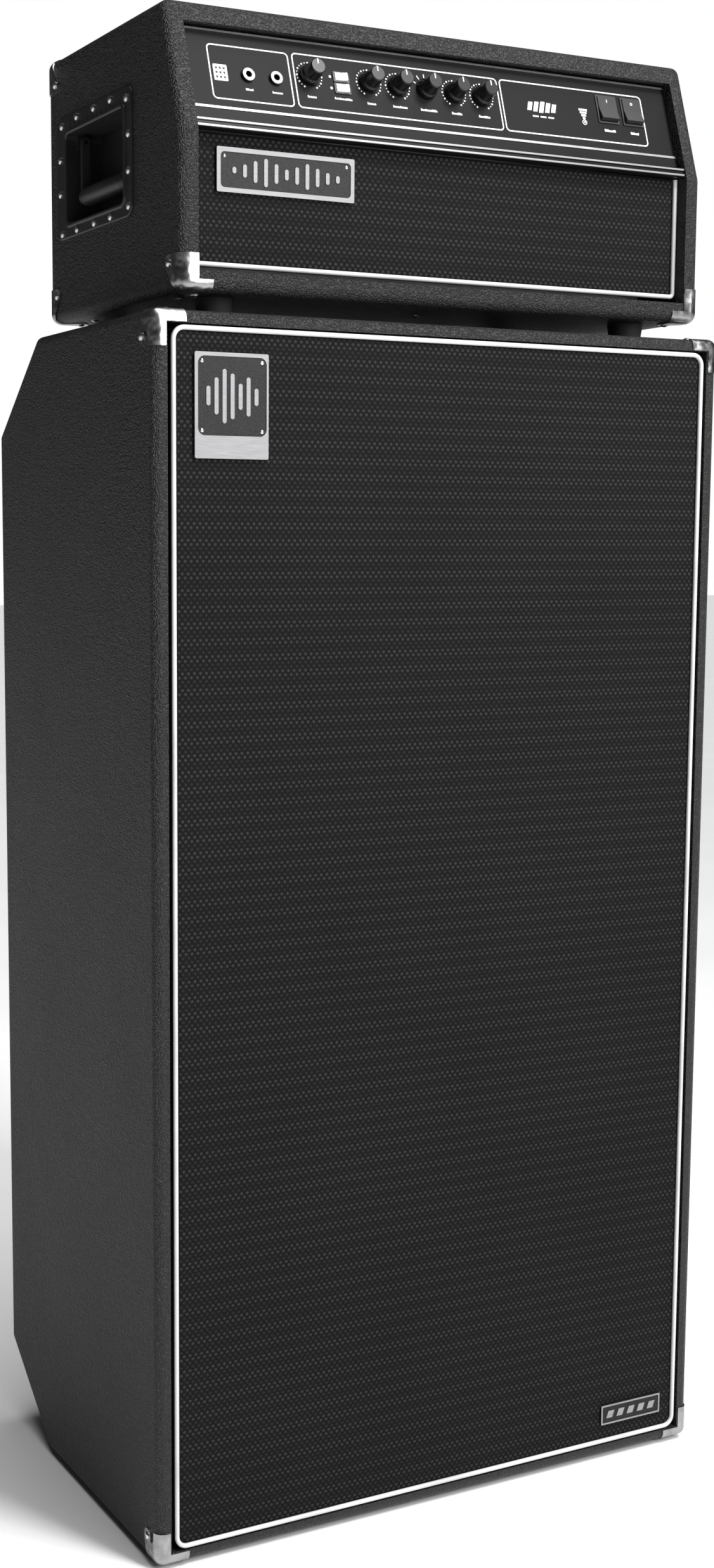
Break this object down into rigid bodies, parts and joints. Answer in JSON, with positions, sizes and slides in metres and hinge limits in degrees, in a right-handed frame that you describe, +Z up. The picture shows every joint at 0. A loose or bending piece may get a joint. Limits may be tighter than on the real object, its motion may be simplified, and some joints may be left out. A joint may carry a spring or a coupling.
{
  "type": "guitar amplifier",
  "caption": "Amplifier head with slanted control panel, knobs and side bail handles, standing on a tall sealed speaker cabinet with grille, corner caps, tilt-back wheels and bar handle.",
  "frame": {"origin": "middle of the overall box, on the floor plane under the cabinet's glides", "axes": "+Z up along the height, -Y towards the player (grille side), +X to the player's right"},
  "size_m": [0.6672, 0.4198, 1.5166],
  "materials": {
    "covering": "black textured vinyl over plywood",
    "plywood": "bare plywood, painted black inside",
    "grille_cloth": "woven black grille cloth",
    "piping": "off-white extruded welt",
    "chrome": "polished",
    "bright_metal": "brushed bright",
    "steel": "zinc plated",
    "panel": "dark grey anodised with white legends",
    "black_metal": "black powder coat",
    "black_plastic": "fine textured black",
    "knob": "black, satin cap",
    "white_plastic": "white",
    "rubber": "black rubber",
    "wheel": "rubber on a nylon hub",
    "cone": "pressed paper",
    "surround": "treated cloth",
    "ferrite": "ferrite and plated steel",
    "glass": "clear glass on black bases",
    "board": "glass-fibre circuit board",
    "iron": "varnished laminations",
    "indicator": "red diffused",
    "badge": "silver plate with a dark field"
  },
  "bodies": {
    "amplifier": {"cab_cabinet": "covering", "cab_baffle": "plywood", "cab_partitions": "plywood", "speaker_baskets": "black_metal", "speaker_magnets": "ferrite", "speaker_surrounds": "surround", "cab_grille_frame": "plywood", "cab_grille_cloth": "grille_cloth", "cab_piping": "piping", "cab_badge": "badge", "cab_nameplate": "badge", "cab_corners": "chrome", "cab_screws": "steel", "skid_rails": "black_plastic", "jack_plate": "black_metal", "wheel_brackets": "steel", "towel_bar": "bright_metal", "towel_bar_posts": "black_metal", "rubber_feet": "rubber", "head_cabinet": "covering", "head_grille_frame": "plywood", "head_grille_cloth": "grille_cloth", "head_piping": "piping", "head_badge": "badge", "grille_moulding": "bright_metal", "lower_fascia": "black_metal", "panel_trim": "bright_metal", "control_panel": "panel", "potentiometers": "steel", "rocker_bezels": "black_plastic", "input_jacks": "chrome", "status_led": "indicator", "preamp_chassis": "steel", "power_chassis": "steel", "rear_sockets": "black_plastic", "transformers": "iron", "vacuum_tubes": "glass", "circuit_board": "board", "fan_frame": "black_plastic", "head_back_grille": "black_metal", "handle_dish_left": "black_plastic", "handle_dish_right": "black_plastic", "head_corners": "chrome", "head_screws": "steel"},
    "knob_gain": {"knob_gain": "knob"},
    "knob_bass": {"knob_bass": "knob"},
    "knob_midrange": {"knob_midrange": "knob"},
    "knob_frequency": {"knob_frequency": "knob"},
    "knob_treble": {"knob_treble": "knob"},
    "knob_master": {"knob_master": "knob"},
    "ultra_hi_switch": {"ultra_hi_rocker": "white_plastic"},
    "ultra_lo_switch": {"ultra_lo_rocker": "white_plastic"},
    "standby_switch": {"standby_rocker": "black_plastic"},
    "power_switch": {"power_rocker": "black_plastic"},
    "left_bail": {"handle_grip_left": "black_metal"},
    "right_bail": {"handle_grip_right": "black_metal"},
    "left_wheel": {"wheel_left": "wheel"},
    "right_wheel": {"wheel_right": "wheel"},
    "fan_rotor": {"fan_impeller": "black_plastic"},
    "cones": {"speaker_cones": "cone"}
  },
  "joints": [
    {"name": "gain_turn", "type": "hinge", "parent": "amplifier", "child": "knob_gain", "pos_m": [-0.1404, -0.15887, 1.45708], "axis": [0, 0.9525, -0.3045], "range_deg": [-150, 150]},
    {"name": "bass_turn", "type": "hinge", "parent": "amplifier", "child": "knob_bass", "pos_m": [-0.074, -0.15887, 1.45708], "axis": [0, 0.9525, -0.3045], "range_deg": [-150, 150]},
    {"name": "midrange_turn", "type": "hinge", "parent": "amplifier", "child": "knob_midrange", "pos_m": [-0.041, -0.15887, 1.45708], "axis": [0, 0.9525, -0.3045], "range_deg": [-150, 150]},
    {"name": "frequency_turn", "type": "hinge", "parent": "amplifier", "child": "knob_frequency", "pos_m": [-0.008, -0.15887, 1.45708], "axis": [0, 0.9525, -0.3045], "range_deg": [-60, 60]},
    {"name": "treble_turn", "type": "hinge", "parent": "amplifier", "child": "knob_treble", "pos_m": [0.025, -0.15887, 1.45708], "axis": [0, 0.9525, -0.3045], "range_deg": [-150, 150]},
    {"name": "master_turn", "type": "hinge", "parent": "amplifier", "child": "knob_master", "pos_m": [0.058, -0.15887, 1.45708], "axis": [0, 0.9525, -0.3045], "range_deg": [-150, 150]},
    {"name": "ultra_hi_rock", "type": "hinge", "parent": "amplifier", "child": "ultra_hi_switch", "pos_m": [-0.1053, -0.15683, 1.45853], "axis": [0, 0.3045, 0.9525], "range_deg": [0, 16]},
    {"name": "ultra_lo_rock", "type": "hinge", "parent": "amplifier", "child": "ultra_lo_switch", "pos_m": [-0.1053, -0.16048, 1.4471], "axis": [0, 0.3045, 0.9525], "range_deg": [0, 16]},
    {"name": "standby_rock", "type": "hinge", "parent": "amplifier", "child": "standby_switch", "pos_m": [0.215, -0.15668, 1.459], "axis": [1, 0, 0], "range_deg": [0, 16]},
    {"name": "power_rock", "type": "hinge", "parent": "amplifier", "child": "power_switch", "pos_m": [0.247, -0.15668, 1.459], "axis": [1, 0, 0], "range_deg": [0, 16]},
    {"name": "left_bail_swing", "type": "hinge", "parent": "amplifier", "child": "left_bail", "pos_m": [-0.2828, 0.00047, 1.4212], "axis": [0, 1, 0], "range_deg": [0, 90]},
    {"name": "right_bail_swing", "type": "hinge", "parent": "amplifier", "child": "right_bail", "pos_m": [0.3028, 0.00047, 1.4212], "axis": [0, -1, 0], "range_deg": [0, 90]},
    {"name": "left_wheel_spin", "type": "hinge", "parent": "amplifier", "child": "left_wheel", "pos_m": [-0.252, 0.17147, 0.035], "axis": [1, 0, 0], "continuous": true},
    {"name": "right_wheel_spin", "type": "hinge", "parent": "amplifier", "child": "right_wheel", "pos_m": [0.252, 0.17147, 0.035], "axis": [1, 0, 0], "continuous": true},
    {"name": "fan_spin", "type": "hinge", "parent": "amplifier", "child": "fan_rotor", "pos_m": [-0.05, 0.08248, 1.3134], "axis": [0, 1, 0], "continuous": true},
    {"name": "cone_travel", "type": "slide", "parent": "amplifier", "child": "cones", "axis": [0, -1, 0], "range_m": [-0.004, 0.004], "stiffness_N_per_m": 16000, "deforming": ["speaker_surrounds"]}
  ]
}
